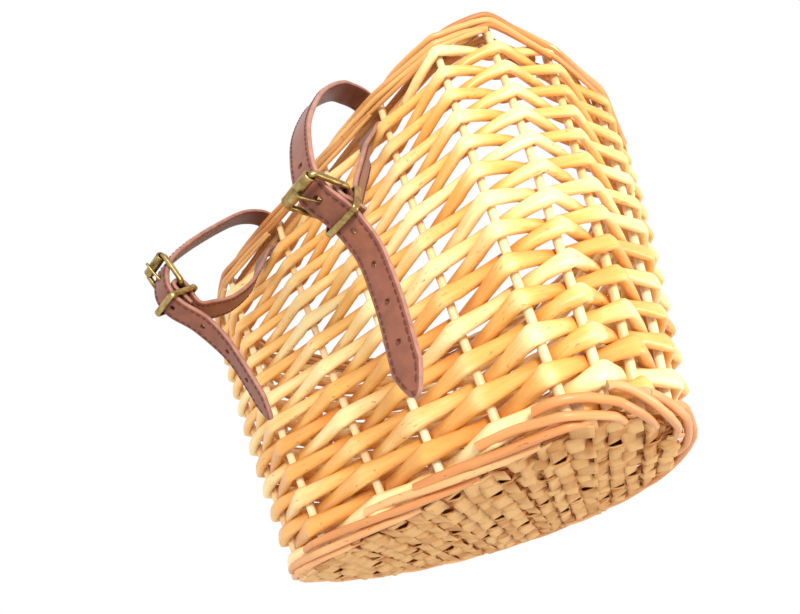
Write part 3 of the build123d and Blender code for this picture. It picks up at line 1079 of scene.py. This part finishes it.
def rounded_loop(corners, radius, steps=6):
    """A closed run round four corners, with each corner an arc."""
    path = []
    count = len(corners)
    for i, corner in enumerate(corners):
        back = (corners[i - 1] - corner).normalized()
        ahead = (corners[(i + 1) % count] - corner).normalized()
        centre = corner + (back + ahead) * radius
        for k in range(steps + 1):
            angle = pi / 2 * k / steps
            path.append(centre - ahead * radius * cos(angle) - back * radius * sin(angle))
        end, next_start = path[-1], corners[(i + 1) % count] - ahead * radius
        for k in range(1, 6):
            path.append(end.lerp(next_start, k / 6))
    return path


def wire(shape, path, normal, deep, wide, sides=12, closed=True, squareness=2.6):
    """A bar bent along a path: `wide` across the loop's plane, `deep` along its normal."""
    count = len(path)
    rings, grain = [], []
    for i, point in enumerate(path):
        if closed:
            way = (path[(i + 1) % count] - path[i - 1]).normalized()
        else:
            way = (path[min(i + 1, count - 1)] - path[max(i - 1, 0)]).normalized()
        aside = normal.cross(way).normalized()
        up = way.cross(aside).normalized()
        d = deep(i / (count - 1)) if callable(deep) else deep
        w = wide(i / (count - 1)) if callable(wide) else wide
        ring = []
        for j in range(sides):
            angle = 2 * pi * j / sides
            c, s = cos(angle), sin(angle)
            reach = (abs(c) ** squareness + abs(s) ** squareness) ** (-1 / squareness)
            ring.append(point + aside * c * w * reach + up * s * d * reach)
        rings.append(ring)
        grain.append([(0.0, 0.0, float(i))] * sides)
    shape.loft(rings, grain, 0.5, 0, 0, caps=not closed, closed=closed)


def buckle_frame(side, spec):
    """The frame: a heel bar, two flattened sides and the axle inside the roller."""
    x, bar, roller = spec["x"], spec["bar"], spec["roller"]
    ends = [place(x + s, p) for s, p in ((-frame_half_width, bar), (frame_half_width, bar),
                                         (frame_half_width, roller), (-frame_half_width, roller))]
    normal = (ends[1] - ends[0]).cross(ends[2] - ends[1]).normalized()
    shape = Shape()
    wire(shape, rounded_loop(ends, frame_corner), normal, *frame_wire)
    return shape.build(side + "_frame_bar", (brass,))


def buckle_roller(side, spec):
    """The roller: a rolled tube with a seam and turned lips."""
    x = spec["x"]
    half = frame_half_width - bar_radius - 0.1
    centre = place(x, spec["roller"])
    shape = Shape()
    profile = [(-half, roller_inner), (-half, roller_outer - 0.15), (-half + 0.25, roller_outer),
               (-half + 0.8, roller_outer), (-half + 1.0, roller_outer - 0.1),
               (0.0, roller_outer - 0.04), (half - 1.0, roller_outer - 0.1),
               (half - 0.8, roller_outer), (half - 0.25, roller_outer),
               (half, roller_outer - 0.15), (half, roller_inner)]
    sides = 32
    rings, grain = [], []
    for along, radius in profile:
        ring = []
        for j in range(sides):
            angle = 2 * pi * j / sides
            seam = 0.22 if j == 5 and radius > roller_inner + 0.1 else 0.0
            ring.append(centre + Vector((along, cos(angle) * (radius - seam),
                                         sin(angle) * (radius - seam))))
        rings.append(ring)
        grain.append([(0.0, 0.0, along)] * sides)
    shape.loft(rings, grain, 0.5, 0, 0, caps=False, closed=True)
    return shape.build(side + "_roller_tube", (brass,))


def buckle_prong(side, spec):
    """The prong: a strip bent round the heel bar, drawn out to a tapered, curved pin."""
    x, bar = spec["x"], spec["bar"]
    way, reach, outside = prong_way(spec)
    base = place(x, bar)
    ahead = place(0, way) - place(0, (0, 0))
    up = place(0, outside) - place(0, (0, 0))
    up = (up - ahead * up.dot(ahead)).normalized()
    eye = 1.55
    path = []
    for k in range(22):
        angle = radians(35 + 300 * k / 21)
        path.append(base + ahead * eye * cos(angle) - up * eye * sin(angle))
    lead = path[-1]
    tip = base + ahead * (reach + 1.5)
    for k in range(1, 15):
        t = k / 14
        p = lead.lerp(tip, t) + up * (0.55 * sin(pi * t) + 0.15 * t)
        path.append(p)
    shape = Shape()
    eye_share = 21 / (len(path) - 1)
    wire(shape, soften(path, 1), Vector((1, 0, 0)),
         lambda t: 1.15 if t < eye_share * 0.9 else max(0.5, 1.15 - 0.75 * (t - eye_share * 0.9) * 3),
         lambda t: 0.42 if t < eye_share else 0.42 + 0.3 * min(1.0, (t - eye_share) * 5) - 0.15 * t,
         closed=False, squareness=2.4)
    return shape.build(side + "_prong_pin", (brass,))


def keeper(side, spec):
    """The keeper: a flat band bent to a loop, a little crowned."""
    x, bar = spec["x"], spec["bar"]
    across, along = buckle_axes(spec)
    middle = step_from(bar, (along, keeper_past_bar))
    low, high = (step_from(middle, (across, reach)) for reach in keeper_reach)
    half = strap_width / 2 + play * 2 + 0.9
    corners = [place(x - half, low), place(x + half, low), place(x + half, high),
               place(x - half, high)]
    normal = (corners[1] - corners[0]).cross(corners[2] - corners[1]).normalized()
    shape = Shape()
    wire(shape, rounded_loop(corners, keeper_corner), normal, *keeper_wire, squareness=3.2)
    return shape.build(side + "_keeper_band", (brass,))


# ---- putting it together -----------------------------------------------------------------
def settle(piece, body, slot, *nodes):
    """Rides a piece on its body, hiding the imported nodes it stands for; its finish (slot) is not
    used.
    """
    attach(piece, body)
    if nodes:
        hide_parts(*nodes)


for row in range(row_count):
    settle(weaving_row(row), "basket", "willow", "weaving_row_%02d" % (row + 1))
settle(packing_rods(), "basket", "willow")

groups = {"stakes_left_corner": (0, 1), "stakes_back": (1, 6), "stakes_right_corner": (6, 8),
          "stakes_right_side": (8, 12), "stakes_front": (12, 16), "stakes_left_side": (16, 20)}
for node, (low, high) in groups.items():
    settle(stake_group(node + "_rods", range(low, high)), "basket", "willow", node)
for k in range(2):
    piece = border_group("rim_plait_%d" % (k + 1), range(k, stake_total, 2), rim_rod, rim_willow)
    settle(piece, "basket", "willow", "rim_rod_%d" % (k + 1))
    piece = border_group("rim_plait_%d" % (k + 3), range(k, stake_total, 2), inner_rim_rod,
                         rim_willow)
    settle(piece, "basket", "willow", "rim_rod_%d" % (k + 3))
for k in range(2):
    piece = border_group("foot_plait_%d" % (k + 1), range(k, stake_total, 2), foot_rod,
                         border_willow)
    settle(piece, "basket", "willow", "foot_border_rod_%d" % (2 * k + 1))
settle(inner_foot_rod(), "basket", "willow", "foot_border_rod_2")

base_angle = radians(116)
settle(base_strips("base_plait_crosswise", True, base_angle, 6.7, 21),
       "basket", "split_willow", "base_strips_crosswise")
settle(base_strips("base_plait_lengthwise", False, base_angle - pi / 2, 6.2, 22),
       "basket", "split_willow", "base_strips_lengthwise")

for side, spec in straps.items():
    settle(strap_leather(side, spec), side + "_strap", "leather", side + "_strap")
    settle(strap_stitching(side, spec), side + "_strap", "leather")
    settle(buckle_frame(side, spec), side + "_buckle", "brass", side + "_buckle_frame")
    settle(buckle_roller(side, spec), side + "_roller", "brass", side + "_buckle_roller")
    settle(buckle_prong(side, spec), side + "_prong", "brass", side + "_buckle_prong")
    settle(keeper(side, spec), side + "_keeper", "brass", side + "_keeper")


# ---- camera, light and floor -------------------------------------------------------------
view_place = Vector((134.2, -196.5, -48.6)) * MM
view_ahead = Vector((-0.4966, 0.6353, 0.5914))
view_up = Vector((0.5607, -0.2853, 0.7773))
view_lens = 22.75


def make_camera():
    """The camera, tipped as the basket is seen."""
    data = bpy.data.cameras.new("camera")
    data.lens, data.sensor_width, data.clip_start = view_lens, 36.0, 0.01
    camera = add_object("camera", data)
    ahead = view_ahead.normalized()
    right = ahead.cross(view_up).normalized()
    up = right.cross(ahead)
    turn = Matrix((right, up, -ahead)).transposed().to_4x4()
    camera.matrix_world = Matrix.Translation(view_place) @ turn
    bpy.context.scene.camera = camera


def soft_light(name, place, target, size, power):
    """A round lamp at a place, aimed at a target."""
    data = bpy.data.lights.new(name, "AREA")
    data.shape, data.size, data.energy = "DISK", size, power
    lamp = add_object(name, data)
    aim = (Vector(target) - Vector(place)).to_track_quat("-Z", "Y").to_matrix().to_4x4()
    lamp.matrix_world = Matrix.Translation(place) @ aim


def make_stage():
    """White paper below the basket."""
    mesh = bpy.data.meshes.new("floor")
    reach, drop = 1.6, -0.32
    mesh.from_pydata([(-reach, -reach, drop), (reach, -reach, drop), (reach, reach, drop),
                      (-reach, reach, drop)], [], [(0, 1, 2, 3)])
    floor = add_object("floor", mesh)
    n = Nodes("floor_paper", Specular_IOR_Level=0.2)
    place = n.node("ShaderNodeTexCoord").outputs["Object"]
    weave = n.noise(place, 40.0, 2.0, 0.5)
    colour = n.ramp(weave, ((0.3, grey(0.86)), (0.7, grey(0.9))))
    rough = n.spread(weave, 0.8, 0.9)
    mesh.materials.append(n.finish(colour, rough, n.bump(weave, 0.05, 0.0005)))


make_camera()
make_stage()
soft_light("key", (0.42, -0.36, 0.02), (0.05, -0.05, 0.08), 0.14, 2.2)
soft_light("fill_low", (0.30, 0.16, -0.10), (0.0, 0.0, 0.0), 0.1, 0.34)
world = bpy.data.worlds.new("studio")
world.use_nodes = True
world.node_tree.nodes["Background"].inputs["Color"].default_value = (1.0, 1.0, 1.0, 1.0)
world.node_tree.nodes["Background"].inputs["Strength"].default_value = 1.0
bpy.context.scene.world = world
bpy.context.scene.view_settings.view_transform = "Standard"

bpy.context.view_layer.update()
